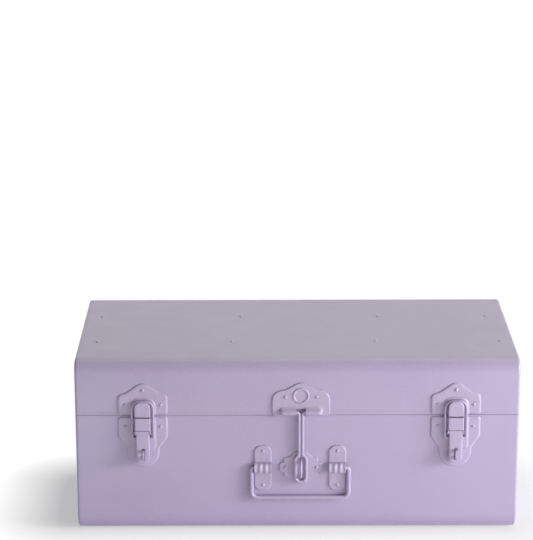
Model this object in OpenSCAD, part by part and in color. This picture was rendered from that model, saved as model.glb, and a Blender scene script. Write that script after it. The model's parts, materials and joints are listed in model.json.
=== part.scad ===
// Small tin trunk, drawn shut. Millimetres, +Z up, front toward -Y, +X to the right seen from the front.
// The origin is on the floor under the middle of the box.

/* [Trunk] */
// Width over the end caps
trunk_width = 500; // [440:1:700]
// Depth of the box, front to back
trunk_depth = 250; // [200:1:400]
// Height with the lid shut
trunk_height = 204; // [190:1:320]
// Height of the seam between base and lid
seam_height = 140; // [130:1:220]
// Sheet steel thickness
sheet = 0.9; // [0.7:0.05:1.2]
// Outside radius of the bottom folds
bottom_radius = 20; // [10:0.5:40]
// Outside radius of the lid's top folds
lid_radius = 14; // [8:0.5:25]
// Radius round the rims of the end caps
cap_radius = 3; // [2.4:0.1:6]
// Length of the cap flange tucked inside the wrap
cap_flange = 8; // [5:0.5:15]
// Dark line between lid and base
seam_gap = 0.4; // [0.2:0.05:1]
// Height of the folded hem on the base rim
base_hem = 8; // [6:0.5:12]
// Height of the folded hem on the lid rim
lid_hem = 3.6; // [2:0.1:6]
// How far the inner collar stands up into the lid
collar_rise = 6.8; // [4:0.1:7]
// Gap between collar and lid hem
collar_gap = 1; // [0.8:0.1:2]

/* [Rivets] */
// Shank radius
rivet_shank = 1.4; // [1:0.05:2]
// Head radius
rivet_head = 2.1; // [1.8:0.05:3]
// Head height
rivet_dome = 1.1; // [0.6:0.05:1.5]
// Thickness of the spread end inside
rivet_tail = 0.8; // [0.5:0.05:1.2]
// Play of a shank or pin in its hole
fit_gap = 0.05; // [0.02:0.01:0.1]

/* [Lid battens] */
// Width of each steel strip under the lid
batten_width = 16; // [10:0.5:24]
// Thickness of each strip
batten_thickness = 1.6; // [1:0.1:3]
// Front strip, distance from the middle
batten_front = 53; // [30:1:80]
// Rear strip, distance from the middle
batten_rear = 44; // [30:1:80]

/* [Latches] */
// Middle of each latch in from the trunk's ends
latch_inset = 74; // [60:1:160]
// Shared middle of the latches, right of the trunk's middle
latch_shift = 2.1; // [-5:0.1:5]
// Half width of the pressed plates
plate_half = 28; // [26:0.5:34]
// Height of a pressed plate off the wall
plate_height = 1.6; // [1.4:0.1:2]
// Sheet of the pressed plates
plate_sheet = 0.8; // [0.6:0.05:1]
// Height of the pad round the bail
pad_height = 2.2; // [2:0.05:2.4]
// Half width of the pad round the bail
pad_half = 15.5; // [14.5:0.1:17]
// Front faces of nose, hood and lever, off the wall
latch_face = 8.9; // [8.5:0.1:10]
// Sheet of nose, hood and lever
latch_sheet = 1; // [0.8:0.05:1.2]
// Half width of nose and hood
nose_half = 8.85; // [8:0.05:9.2]
// Lever pivot below the seam
lever_pivot = 18.2; // [16:0.1:20]
// Radius of the lever's pivot pin
lever_pin = 1.1; // [0.8:0.05:1.4]
// Bottom end of the lever below the seam
lever_end = 55.2; // [54:0.1:60]
// Bail wire radius
bail_wire = 1.5; // [1.2:0.05:1.8]
// Half the spacing of the bail's arms, wire centres
bail_half = 12; // [11.5:0.1:13]
// Bail bar above the seam, wire centre
bail_top = 17.5; // [15:0.1:18]
// Bail ends below the seam, wire centre
bail_end = 25.5; // [23:0.1:27]
// Bail wire centre off the wall
bail_stand = 4.8; // [4.5:0.1:5.2]
// Top of the nose lip above the seam
nose_top = 18.6; // [17:0.1:19]
// Reach of the padlock tab off the wall
tab_reach = 15.7; // [14:0.1:20]

/* [Hasp] */
// Hasp and staple, right of the trunk's middle
hasp_shift = 4; // [-5:0.1:8]
// Half width of the hasp plate
hasp_half = 32.7; // [30:0.1:36]
// Barrel axis above the seam
barrel_up = 4.3; // [4:0.1:5]
// Barrel axis off the wall
barrel_stand = 3.6; // [3.5:0.1:4]
// Outside radius of the rolled barrel
barrel_radius = 3.3; // [3:0.05:3.5]
// Half length of the barrel
barrel_half = 23; // [18:0.5:26]
// Hasp wire radius
hasp_wire = 1.8; // [1.5:0.05:2]
// Half the width of the eye, wire centres
eye_half = 6.1; // [5.5:0.1:7]
// Lowest wire centre of the eye, below the seam
eye_bottom = 78.7; // [72:0.1:84]
// Where the two strands part, below the seam
eye_top = 45; // [42:0.1:48]
// Staple wire radius
staple_wire = 1.5; // [1.2:0.05:1.8]
// Half the height of the staple, wire centres
staple_half = 9.8; // [8:0.1:11]
// Middle of the staple below the seam
staple_down = 62.6; // [58:0.1:66]
// Straight part of the staple's legs off the wall
staple_leg = 3; // [2:0.1:6]

/* [Handle] */
// Handle, right of the trunk's middle
handle_shift = 3.2; // [-5:0.1:8]
// Bracket centres from the handle's middle
bracket_spread = 42.2; // [36:0.1:60]
// Half width of a bracket
bracket_half = 9.8; // [8:0.1:12]
// Upper end of a bracket below the seam
bracket_top = 36; // [32:0.5:40]
// Lower end of a bracket below the seam
bracket_bottom = 90.1; // [86:0.5:96]
// Handle wire radius
handle_wire = 2.5; // [2:0.1:3]
// Handle pivot below the seam
handle_pivot = 62.2; // [58:0.1:66]
// Handle pivot off the wall
handle_stand = 3.1; // [3:0.1:4]
// Handle bar below the seam, wire centre
handle_bar = 98; // [90:0.5:106]
// Spacing of the three raised loops on a bracket
loop_pitch = 6.3; // [5:0.1:7]

/* [Hinges] */
// Middle of each hinge in from the trunk's ends
hinge_inset = 100; // [50:1:160]
// Hinge axis behind the back wall
hinge_back = 3.2; // [3:0.05:4]
// Knuckle radius
knuckle_radius = 3; // [2.6:0.05:3]
// Hinge pin radius
hinge_pin = 1.5; // [1.2:0.05:1.8]
// Length of one knuckle
knuckle_length = 8; // [6:0.5:12]
// Height of each leaf
leaf_height = 28; // [20:1:40]

/* [Stays] */
// Stay pivot and stud, in front of the hinge axis
stay_run = 60.83; // [50:0.01:70]
// Stay pivot above and stud below the hinge axis
stay_rise = 12; // [11.5:0.5:14]
// Half width of the slotted bar
stay_half = 7; // [6:0.1:8]
// Thickness of the slotted bar
stay_sheet = 2; // [1.5:0.1:2.5]
// Radius of the stud and pivot necks
stay_neck = 2.5; // [2:0.1:3]
// Angle at which the stays stop the lid
lid_angle = 100; // [80:1:105]

/* [Hidden] */
$fn = 64;
cut = 50;
lilac = [0.72, 0.68, 0.79];
steel = [0.60, 0.60, 0.62];
front_y = -trunk_depth / 2;
wrap_half = trunk_width / 2 - cap_radius;
hem_half = wrap_half - cap_flange - 0.5;
lid_height = trunk_height - seam_height - seam_gap;
collar_out = 2 * sheet + collar_gap;
collar_foot = 7.5;
collar_step = 2.5;
rivet_grip = plate_height + sheet;
latch_left_x = latch_shift - trunk_width / 2 + latch_inset;
latch_right_x = latch_shift + trunk_width / 2 - latch_inset;
rim_steps = [[0, 0.55], [0.5, 0.85], [1.2, 1]];
rim_wall = 0.9;
curve_lap = 0.04;
keeper_low = 1.2;
keeper_side = 26;
keeper_top = 38;
keeper_corner = 3;
keeper_rivets_xy = [[0, 30.2], [-20.2, 13], [20.2, 13]];
catch_top = -1.3;
catch_side = -24;
catch_slope = 36;
catch_corner = 4;
catch_hollow = 9;
catch_round = 18.3;
catch_low = -61.6;
catch_rivets_xy = [[-19.8, -12.7], [19.8, -12.7]];
shelf_radius = bail_half - bail_wire - 0.35;
arch_y = bail_top - bail_half;
nose_low = 0.5;
pivot_stand = latch_face - 2.2;
lever_half = nose_half - latch_sheet - 0.25;
lever_barrel = 2.1;
lever_back = pad_height + 0.3;
hood_top = -0.6;
hood_low = -lever_pivot + 2.85;
lug_radius = 2.4;
tab_half = 1;
tab_top = -37.9;
tab_low = -49.3;
tab_hole_radius = 2.5;
tab_hole_stand = latch_face + 3.3;
slot_gap = 0.6;
scoop_radius = 8;
scoop_depth = 0.8;
hasp_low = -0.8;
hasp_side = 29.8;
hasp_top = 38.5;
hasp_corner = 12;
hasp_foot = 5;
hasp_rivets_xy = [[-17.6, 21.9], [17.6, 21.9]];
crown_dome = 12;
ring_y = 22.7;
ring_radius = 8.2;
ring_bead = 1.2;
notch_half = 5.3;
barrel_taper = 4.2;
ramp_rise = 6.5;
strand_x = hasp_wire + 0.2;
strand_bend = 3;
eye_bend = 4;
staple_rivets_xy = [[-17.7, -62.3], [17.7, -62.3]];
bracket_rivets_y = [-42.2, -83.3];
arm_x = bracket_spread + bracket_half + 0.5 + handle_wire;
tunnel = handle_wire + 0.06;
hinge_spread = trunk_width / 2 - hinge_inset;
axis_y = trunk_depth / 2 + hinge_back;
axis_z = seam_height + seam_gap / 2;
leaf_sheet = 1.2;
knuckle_cut = knuckle_radius + 0.6;
knuckle_play = 0.15;
hinge_half = 2.5 * knuckle_length;
leaf_rivets_x = [-14, 0, 14];
leaf_rivet_near = base_hem + seam_gap / 2 + rivet_head + 0.4;
leaf_rivet_far = leaf_height - 7;
stay_y = axis_y - stay_run;
stay_reach = 2 * sqrt(stay_run * stay_run + stay_rise * stay_rise);
stay_start = 2 * stay_rise;
stay_stop = stay_reach * sin(lid_angle / 2 + atan(stay_rise / stay_run));
stay_tail = 8.4;
stay_x = trunk_width / 2 - collar_out - sheet - 1.3 - stay_sheet;
boss_radius = 4;
batten_half = stay_x - 4;
batten_y = [-batten_front, batten_rear];
batten_share = [[-0.915, -0.296, 0.362, 0.935], [-0.918, -0.258, 0.393, 0.906]];
batten_x = batten_share * trunk_width / 2;

// Places children on the front wall: X right, Y up from the seam, Z out of the wall.
module on_front(x) {
    translate([x, front_y, seam_height]) rotate([90, 0, 0]) children();
}

// Flips children drawn upward from the floor to hang down from the lid's top.
module from_lid_top() {
    translate([0, 0, trunk_height]) mirror([0, 0, 1]) children();
}

// Rivet with its head on the plane z = 0 and its tail below the grip.
module rivet(grip) {
    rotate_extrude() {
        square([rivet_shank, rivet_dome / 2]);
        intersection() {
            square([rivet_head, rivet_dome]);
            translate([0, rivet_dome - dome_of(rivet_head, rivet_dome)]) circle(dome_of(rivet_head, rivet_dome));
        }
        translate([0, -grip]) square([rivet_shank, grip]);
        translate([0, -grip - rivet_tail]) square([rivet_head, rivet_tail]);
    }
}

function dome_of(radius, height) = (radius * radius + height * height) / (2 * height);

module rivet_hole() {
    cylinder(r = rivet_shank + fit_gap, h = cut, center = true);
}

// ---- sheet body: folded wraps and pressed end caps ----

// Filled section of the box, X across the depth, Y up, corners rounded at the bottom.
module trough(height, radius, inset) {
    translate([-trunk_depth / 2 + inset, radius]) square([trunk_depth - 2 * inset, height - radius]);
    translate([-trunk_depth / 2 + radius, inset]) square([trunk_depth - 2 * radius, radius]);
    for (s = [-1, 1])
        translate([s * (trunk_depth / 2 - radius), radius]) circle(radius - inset);
}

module wrap_shell(height, radius, hem) {
    rotate([90, 0, 90]) linear_extrude(height = 2 * wrap_half, center = true) difference() {
        trough(height, radius, 0);
        trough(height + cut, radius, sheet);
    }
    for (s = [-1, 1])
        translate([-hem_half, s * (trunk_depth / 2 - 1.5 * sheet) - sheet / 2, height - hem])
            cube([2 * hem_half, sheet, hem]);
}

// Rim of a cap: X is the distance in from the outline, Y the distance in from the end face.
module cap_rim() {
    translate([cap_radius, cap_radius]) intersection() {
        difference() {
            circle(cap_radius);
            circle(cap_radius - sheet);
        }
        translate([-cap_radius, -cap_radius]) square(cap_radius);
    }
    translate([sheet / 2, cap_radius - sheet]) square([1.5 * sheet, sheet]);
    translate([sheet + fit_gap, cap_radius]) square([sheet, cap_flange]);
}

module cap_shell(height, radius, hem) {
    linear_extrude(height = sheet) trough(height, radius, cap_radius);
    translate([-trunk_depth / 2 + radius, 0, 0]) rotate([90, 0, 90])
        linear_extrude(height = trunk_depth - 2 * radius) cap_rim();
    for (s = [0, 1]) mirror([s, 0, 0]) {
        translate([-trunk_depth / 2, height, 0]) rotate([90, 0, 0])
            linear_extrude(height = height - radius) cap_rim();
        translate([-trunk_depth / 2 + radius, radius, 0]) rotate([0, 0, 180])
            rotate_extrude(angle = 90) translate([radius, 0]) mirror([1, 0]) cap_rim();
    }
    translate([-trunk_depth / 2 + cap_radius, height - hem, sheet])
        cube([trunk_depth - 2 * cap_radius, hem, sheet]);
}

module left_cap(height, radius, hem) {
    translate([-trunk_width / 2, 0, 0]) rotate([90, 0, 90]) cap_shell(height, radius, hem);
}

module rounded_loop(outer, inner, bottom, top) {
    translate([0, 0, bottom]) linear_extrude(height = top - bottom) difference() {
        rounded_box(trunk_width - 2 * outer, trunk_depth - 2 * outer, 2);
        rounded_box(trunk_width - 2 * inner, trunk_depth - 2 * inner, 1);
    }
}

module rounded_box(width, depth, radius) {
    square([width - 2 * radius, depth], center = true);
    square([width, depth - 2 * radius], center = true);
    for (sx = [-1, 1]) for (sy = [-1, 1])
        translate([sx * (width / 2 - radius), sy * (depth / 2 - radius)]) circle(radius);
}

module hinge_holes(up) {
    for (s = [-1, 1]) for (x = leaf_rivets_x)
        translate([s * hinge_spread + x, trunk_depth / 2, axis_z + up * leaf_rivet_z(x)])
            rotate([90, 0, 0]) rivet_hole();
}

function leaf_rivet_z(x) = x == 0 ? leaf_rivet_far : leaf_rivet_near;

module base_wrap() {
    color(lilac) difference() {
        wrap_shell(seam_height, bottom_radius, base_hem);
        for (x = [latch_left_x, latch_right_x]) on_front(x)
            for (p = catch_rivets_xy) translate(p) rivet_hole();
        on_front(hasp_shift) {
            for (p = staple_rivets_xy) translate(p) rivet_hole();
            for (s = [-1, 1]) translate([0, -staple_down + s * staple_half])
                cylinder(r = staple_wire + fit_gap, h = cut, center = true);
        }
        for (s = [-1, 1]) on_front(handle_shift + s * bracket_spread)
            for (y = bracket_rivets_y) translate([0, y]) rivet_hole();
        hinge_holes(-1);
    }
}

module base_end_left() {
    color(lilac) difference() {
        left_cap(seam_height, bottom_radius, base_hem);
        side_hole(axis_z - stay_rise);
    }
}

module base_end_right() {
    mirror([1, 0, 0]) base_end_left();
}

module side_hole(z) {
    translate([-trunk_width / 2, stay_y, z]) rotate([0, 90, 0])
        cylinder(r = rivet_shank + fit_gap, h = 10 * sheet, center = true);
}

module base_collar() {
    color(steel) {
        rounded_loop(2 * sheet, 3 * sheet, seam_height - collar_foot, seam_height - collar_step);
        rounded_loop(2 * sheet, collar_out + sheet, seam_height - collar_step - sheet, seam_height - collar_step);
        rounded_loop(collar_out, collar_out + sheet, seam_height - collar_step, seam_height + collar_rise);
    }
}

module lid_wrap() {
    color(lilac) difference() {
        from_lid_top() wrap_shell(lid_height, lid_radius, lid_hem);
        for (row = [0, 1]) for (x = batten_x[row])
            translate([x, batten_y[row], trunk_height]) rivet_hole();
        for (x = [latch_left_x, latch_right_x]) on_front(x)
            for (p = keeper_rivets_xy) translate(p) rivet_hole();
        on_front(hasp_shift) for (p = hasp_rivets_xy) translate(p) rivet_hole();
        hinge_holes(1);
    }
}

module lid_end_left() {
    color(lilac) difference() {
        from_lid_top() left_cap(lid_height, lid_radius, lid_hem);
        side_hole(axis_z + stay_rise);
    }
}

module lid_end_right() {
    mirror([1, 0, 0]) lid_end_left();
}

module batten(row) {
    translate([0, batten_y[row], trunk_height - sheet - batten_thickness])
        linear_extrude(height = batten_thickness) difference() {
            union() {
                square([2 * batten_half - batten_width, batten_width], center = true);
                for (s = [-1, 1]) translate([s * (batten_half - batten_width / 2), 0]) circle(d = batten_width);
            }
            for (x = batten_x[row]) translate([x, 0]) circle(rivet_shank + fit_gap);
        }
}

module lid_batten_front() {
    color(steel) batten(0);
}

module lid_batten_rear() {
    color(steel) batten(1);
}

module batten_rivets() {
    color(lilac) for (row = [0, 1]) for (x = batten_x[row])
        translate([x, batten_y[row], trunk_height]) rivet(sheet + batten_thickness);
}

// ---- pressed plates ----

// Sheet plate with a rim turned down to the wall; children draw its outline shrunk by $inset.
module pressed_plate() {
    difference() {
        for (step = rim_steps)
            linear_extrude(height = plate_height * step[1]) let ($inset = step[0]) children();
        translate([0, 0, -1]) linear_extrude(height = plate_height - plate_sheet + 1)
            let ($inset = rim_wall) children();
    }
}

// Plate with a domed crown that runs down two slopes into hollow curves above its shoulders.
module crown_outline(half, low, side, top, corner, foot, hollow, slope) {
    n = [sin(slope), cos(slope)];
    dome_y = top - crown_dome;
    drop = top - side - (crown_dome + hollow) * (1 - n[1]);
    hollow_x = (crown_dome + hollow) * n[0] + drop * n[1] / n[0];
    start = [0, dome_y] + (crown_dome - $inset - curve_lap) * n;
    end = [hollow_x, side + hollow] - (hollow + $inset + curve_lap) * n;
    edge_x = min(hollow_x, half - corner);
    translate([-half + $inset, low + foot]) square([2 * half - 2 * $inset, side - low - corner - foot]);
    translate([-half + corner, low + foot]) square([2 * half - 2 * corner, side - low - foot - $inset]);
    translate([-half + foot, low + $inset]) square([2 * half - 2 * foot, side - low - corner - $inset]);
    for (s = [-1, 1]) {
        translate([s * (half - corner), side - corner]) circle(corner - $inset);
        translate([s * (half - foot), low + foot]) circle(foot - $inset);
    }
    translate([0, dome_y]) circle(crown_dome - $inset);
    difference() {
        polygon([
            [0, dome_y], start, end, [edge_x, end[1]], [edge_x, side - corner],
            [-edge_x, side - corner], [-edge_x, end[1]], flip(end), flip(start)]);
        for (s = [-1, 1]) translate([s * hollow_x, side + hollow]) circle(hollow + $inset + 2 * curve_lap);
    }
}

function flip(p) = [-p[0], p[1]];

module keeper_outline() {
    crown_outline(plate_half, keeper_low, keeper_side, keeper_top, keeper_corner, keeper_corner, 13, 36.5);
}

module hasp_outline() {
    crown_outline(hasp_half, hasp_low, hasp_side, hasp_top, hasp_corner, hasp_foot, 16, 30);
}

// Lower latch plate: square shoulders, a slope in to the waist and a round foot.
module catch_outline() {
    n = [cos(catch_slope), -sin(catch_slope)];
    both = catch_corner + catch_hollow;
    run = (plate_half - catch_round - both * (1 - n[0])) / -n[1];
    waist = catch_side + both * n[1] - run * n[0];
    foot_y = catch_low + catch_round;
    corner_x = plate_half - catch_corner;
    start = [corner_x, catch_side] + (catch_corner - $inset - curve_lap) * n;
    end = [catch_round + catch_hollow, waist] - (catch_hollow + $inset + curve_lap) * n;
    translate([-plate_half + $inset, catch_side])
        square([2 * plate_half - 2 * $inset, catch_top - catch_side - catch_corner]);
    translate([-corner_x, catch_side]) square([2 * corner_x, catch_top - catch_side - $inset]);
    for (s = [-1, 1]) for (y = [catch_side, catch_top - catch_corner])
        translate([s * corner_x, y]) circle(catch_corner - $inset);
    difference() {
        polygon([
            [corner_x, catch_side], start, end, [end[0], waist],
            [-end[0], waist], flip(end), flip(start), [-corner_x, catch_side]]);
        for (s = [-1, 1]) translate([s * (catch_round + catch_hollow), waist])
            circle(catch_hollow + $inset + 2 * curve_lap);
    }
    translate([-catch_round + $inset, foot_y]) square([2 * catch_round - 2 * $inset, waist - foot_y]);
    translate([0, foot_y]) circle(catch_round - $inset);
}

module keeper_pad(inset) {
    intersection() {
        translate([0, arch_y]) circle(pad_half - inset);
        translate([-cut, arch_y]) square([2 * cut, cut]);
    }
    translate([-pad_half + inset, keeper_low]) square([2 * pad_half - 2 * inset, arch_y - keeper_low]);
}

module catch_pad(inset) {
    pad_foot = -40;
    translate([-pad_half + inset, pad_foot + 4]) square([2 * pad_half - 2 * inset, catch_top - pad_foot - 4]);
    translate([-pad_half + 4, pad_foot + inset]) square([2 * pad_half - 8, catch_top - pad_foot - inset]);
    for (s = [-1, 1]) translate([s * (pad_half - 4), pad_foot + 4]) circle(4 - inset);
}

// Hollow nose the bail hooks over: side walls, curved shelf and a front face with a round lip.
module nose() {
    wall = pad_height - plate_sheet;
    translate([0, 0, wall]) linear_extrude(height = latch_face - latch_sheet / 2 - wall) difference() {
        nose_core(0);
        nose_core(latch_sheet);
    }
    translate([0, 0, latch_face - latch_sheet]) linear_extrude(height = latch_sheet) {
        translate([0, nose_top - nose_half]) circle(nose_half);
        translate([-nose_half, nose_low]) square([2 * nose_half, nose_top - nose_half - nose_low]);
    }
}

module nose_core(inset) {
    intersection() {
        translate([0, arch_y]) circle(shelf_radius - inset);
        translate([-nose_half + inset, nose_low]) square([2 * nose_half - 2 * inset, cut]);
    }
    translate([-nose_half + inset, nose_low - inset]) square([2 * nose_half - 2 * inset, arch_y - nose_low + inset]);
}

module keeper(x) {
    on_front(x) difference() {
        union() {
            difference() {
                union() {
                    pressed_plate() keeper_outline();
                    linear_extrude(height = pad_height) keeper_pad(0);
                }
                translate([0, 0, -1]) linear_extrude(height = pad_height - plate_sheet + 1) keeper_pad(rim_wall);
            }
            nose();
        }
        for (p = keeper_rivets_xy) translate(p) rivet_hole();
    }
}

module keeper_left() {
    color(lilac) keeper(latch_left_x);
}

module keeper_right() {
    color(lilac) keeper(latch_right_x);
}

module keeper_rivets() {
    color(lilac) for (x = [latch_left_x, latch_right_x]) on_front(x)
        for (p = keeper_rivets_xy) translate([p[0], p[1], plate_height]) rivet(rivet_grip);
}

// Hood that carries the lever pin between two cheeks.
module hood() {
    wall = pad_height - plate_sheet;
    for (s = [-1, 1]) translate([s * (nose_half - latch_sheet / 2), 0, 0]) rotate([0, -90, 0])
        linear_extrude(height = latch_sheet, center = true) {
            translate([wall, -lever_pivot]) square([latch_face - latch_sheet / 2 - wall, lever_pivot + hood_top]);
            translate([wall, -lever_pivot - lug_radius]) square([pivot_stand - wall, lug_radius]);
            translate([pivot_stand, -lever_pivot]) circle(lug_radius - 0.3);
        }
    translate([-nose_half, hood_low, latch_face - latch_sheet])
        cube([2 * nose_half, hood_top - hood_low, latch_sheet]);
}

module padlock_tab() {
    translate([-tab_half + slot_gap, tab_low, pad_height - plate_sheet])
        cube([2 * tab_half, tab_top - tab_low, tab_reach - pad_height + plate_sheet]);
}

module tab_hole() {
    translate([slot_gap, (tab_top + tab_low) / 2, tab_hole_stand]) rotate([0, 90, 0])
        cylinder(r = tab_hole_radius, h = 4 * tab_half, center = true);
}

module latch_plate(x) {
    on_front(x) difference() {
        union() {
            difference() {
                union() {
                    pressed_plate() catch_outline();
                    linear_extrude(height = pad_height) catch_pad(0);
                }
                translate([0, 0, -1]) linear_extrude(height = pad_height - plate_sheet + 1) catch_pad(rim_wall);
            }
            hood();
            padlock_tab();
        }
        for (p = catch_rivets_xy) translate(p) rivet_hole();
        translate([0, -lever_pivot, pivot_stand]) rotate([0, 90, 0])
            cylinder(r = lever_pin + fit_gap, h = cut, center = true);
        tab_hole();
    }
}

module latch_plate_left() {
    color(lilac) latch_plate(latch_left_x);
}

module latch_plate_right() {
    color(lilac) latch_plate(latch_right_x);
}

module latch_plate_rivets() {
    color(lilac) for (x = [latch_left_x, latch_right_x]) on_front(x)
        for (p = catch_rivets_xy) translate([p[0], p[1], plate_height]) rivet(rivet_grip);
}

module latch_pin(x) {
    head = 0.7;
    on_front(x) translate([0, -lever_pivot, pivot_stand]) rotate([0, 90, 0]) {
        cylinder(r = lever_pin, h = 2 * nose_half + head, center = true);
        for (s = [-1, 1]) translate([0, 0, s * (nose_half + head / 2)])
            cylinder(r = lever_pin + 0.5, h = head, center = true);
    }
}

module latch_pin_left() {
    color(lilac) latch_pin(latch_left_x);
}

module latch_pin_right() {
    color(lilac) latch_pin(latch_right_x);
}

// ---- latch lever and bail ----

module lever_outline(inset) {
    r = lever_half - inset;
    translate([0, -lever_end + lever_half]) circle(r);
    translate([-r, -lever_end + lever_half]) square([2 * r, lever_end - lever_half - lever_pivot]);
}

// Window that lets the padlock tab through.
module lever_slot() {
    translate([-tab_half, tab_low - 1.7])
        square([2 * tab_half + 2 * slot_gap, tab_top - tab_low + 2.7]);
}

// Shallow dish pressed beside the window.
module lever_scoop() {
    translate([-1.8, (tab_top + tab_low) / 2, latch_face + scoop_radius - scoop_depth]) sphere(scoop_radius);
}

module latch_lever(x) {
    on_front(x) difference() {
        union() {
            difference() {
                translate([0, 0, lever_back]) linear_extrude(height = latch_face - lever_back) lever_outline(0);
                translate([0, 0, lever_back - 1]) linear_extrude(height = latch_face - latch_sheet - lever_back + 1)
                    difference() {
                        lever_outline(latch_sheet);
                        translate([-cut, -lever_pivot]) square([2 * cut, cut]);
                    }
            }
            translate([0, -lever_pivot, pivot_stand]) rotate([0, 90, 0])
                cylinder(r = lever_barrel, h = 2 * lever_half, center = true);
        }
        translate([0, -lever_pivot, pivot_stand]) rotate([0, 90, 0])
            cylinder(r = lever_pin + fit_gap, h = cut, center = true);
        translate([0, -bail_end, bail_stand]) rotate([0, 90, 0])
            cylinder(r = bail_wire + fit_gap, h = cut, center = true);
        translate([0, 0, latch_face - 2 * latch_sheet]) linear_extrude(height = cut) lever_slot();
        lever_scoop();
    }
}

module latch_lever_left() {
    color(lilac) latch_lever(latch_left_x);
}

module latch_lever_right() {
    color(lilac) latch_lever(latch_right_x);
}

// A straight piece of round wire along X, Y or Z.
module wire_x(radius, length) {
    rotate([0, 90, 0]) cylinder(r = radius, h = length, $fn = 32);
}

module wire_y(radius, length) {
    rotate([-90, 0, 0]) cylinder(r = radius, h = length, $fn = 32);
}

// Elbow in the XY plane about its own centre, from one angle through a turn.
module wire_bend(radius, bend, start, turn) {
    rotate([0, 0, start]) rotate_extrude(angle = turn, $fn = 32) translate([bend, 0]) circle(radius, $fn = 32);
}

// Hair-thick swelling that welds two lengths of wire where they meet at a slant.
module wire_bead(radius) {
    sphere(radius + 0.03, $fn = 32);
}

module latch_bail(x) {
    bend = bail_wire + 0.7;
    end_x = lever_half - latch_sheet - 0.3;
    on_front(x) translate([0, 0, bail_stand]) {
        translate([0, arch_y, 0]) wire_bend(bail_wire, bail_half, 0, 180);
        for (s = [0, 1]) mirror([s, 0, 0]) {
            translate([bail_half, -bail_end + bend, 0]) wire_y(bail_wire, arch_y + bail_end - bend);
            translate([bail_half - bend, -bail_end + bend, 0]) wire_bend(bail_wire, bend, 270, 90);
            translate([end_x, -bail_end, 0]) wire_x(bail_wire, bail_half - bend - end_x);
        }
    }
}

module latch_bail_left() {
    color(lilac) latch_bail(latch_left_x);
}

module latch_bail_right() {
    color(lilac) latch_bail(latch_right_x);
}

// ---- hasp, staple ----

// Half of the sheet that rises from the plate to the barrel, and the barrel's tapered end.
module barrel_rise(side) {
    long = barrel_half - notch_half;
    reach = barrel_radius - curve_lap;
    translate([side * (notch_half + long / 2), 0, 0]) rotate([90, 0, 90])
        linear_extrude(height = long, center = true) polygon([
            [barrel_up, 0.7], [barrel_up + ramp_rise, 0.7], [barrel_up + ramp_rise, plate_height - 0.1],
            [barrel_up + reach * sin(45), barrel_stand + reach * cos(45)]]);
    translate([side * (barrel_half - 0.01), barrel_up, barrel_stand]) rotate([0, side * 90, 0])
        cylinder(r1 = barrel_radius, r2 = barrel_stand - plate_height + 0.1, h = barrel_taper);
}

module hasp_plate() {
    tongue = barrel_up + barrel_radius + 1;
    color(lilac) on_front(hasp_shift) difference() {
        union() {
            difference() {
                pressed_plate() hasp_outline();
                translate([-barrel_half - 0.4, -10, -1]) cube([2 * barrel_half + 0.8, tongue + 9.4, cut]);
            }
            translate([-barrel_half, barrel_up, 0.5]) cube([2 * barrel_half, tongue - barrel_up + 1, 0.7]);
            translate([0, barrel_up, barrel_stand]) rotate([0, 90, 0])
                cylinder(r = barrel_radius, h = 2 * barrel_half, center = true);
            for (s = [-1, 1]) barrel_rise(s);
            translate([0, ring_y, plate_height - 0.3]) rotate_extrude() intersection() {
                translate([ring_radius, 0]) circle(ring_bead);
                square([cut, cut]);
            }
        }
        translate([0, barrel_up, barrel_stand]) rotate([0, 90, 0])
            cylinder(r = hasp_wire + fit_gap, h = 2 * barrel_half + 1, center = true);
        translate([-notch_half, barrel_up - cut, 1.3]) cube([2 * notch_half, cut + barrel_radius + 0.5, cut]);
        translate([-notch_half, barrel_up - cut, -1]) cube([2 * notch_half, cut, cut]);
        for (p = hasp_rivets_xy) translate(p) rivet_hole();
    }
}

module hasp_plate_rivets() {
    color(lilac) on_front(hasp_shift)
        for (p = hasp_rivets_xy) translate([p[0], p[1], plate_height]) rivet(rivet_grip);
}

// Bent wire hasp: two ends in the barrel, two strands, and an eye.
module hasp_loop() {
    shift = eye_half - strand_x;
    sway = eye_bend * (1 - cos(45));
    knee = eye_bend * sin(45);
    run = shift - 2 * sway;
    eye_side = eye_top + 2 * knee + run;
    eye_low = eye_bottom - eye_half;
    color(lilac) on_front(hasp_shift) translate([0, 0, barrel_stand]) {
        translate([0, -eye_low, 0]) wire_bend(hasp_wire, eye_half, 180, 180);
        for (s = [0, 1]) mirror([s, 0, 0]) {
            translate([strand_x + strand_bend, barrel_up, 0])
                wire_x(hasp_wire, barrel_half - 0.5 - strand_x - strand_bend);
            translate([strand_x + strand_bend, barrel_up - strand_bend, 0])
                wire_bend(hasp_wire, strand_bend, 90, 90);
            translate([strand_x, -eye_top, 0]) wire_y(hasp_wire, eye_top + barrel_up - strand_bend);
            translate([strand_x, -eye_top, 0]) wire_bead(hasp_wire);
            translate([strand_x + eye_bend, -eye_top, 0]) wire_bend(hasp_wire, eye_bend, 180, 45);
            translate([strand_x + sway, -eye_top - knee, 0]) wire_bead(hasp_wire);
            translate([strand_x + sway, -eye_top - knee, 0]) rotate([0, 0, -45]) wire_x(hasp_wire, run / sin(45));
            translate([eye_half - sway, -eye_side + knee, 0]) wire_bead(hasp_wire);
            translate([eye_half - eye_bend, -eye_side, 0]) wire_bend(hasp_wire, eye_bend, 0, 45);
            translate([eye_half, -eye_side, 0]) wire_bead(hasp_wire);
            translate([eye_half, -eye_low, 0]) wire_y(hasp_wire, eye_low - eye_side);
        }
    }
}

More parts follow.
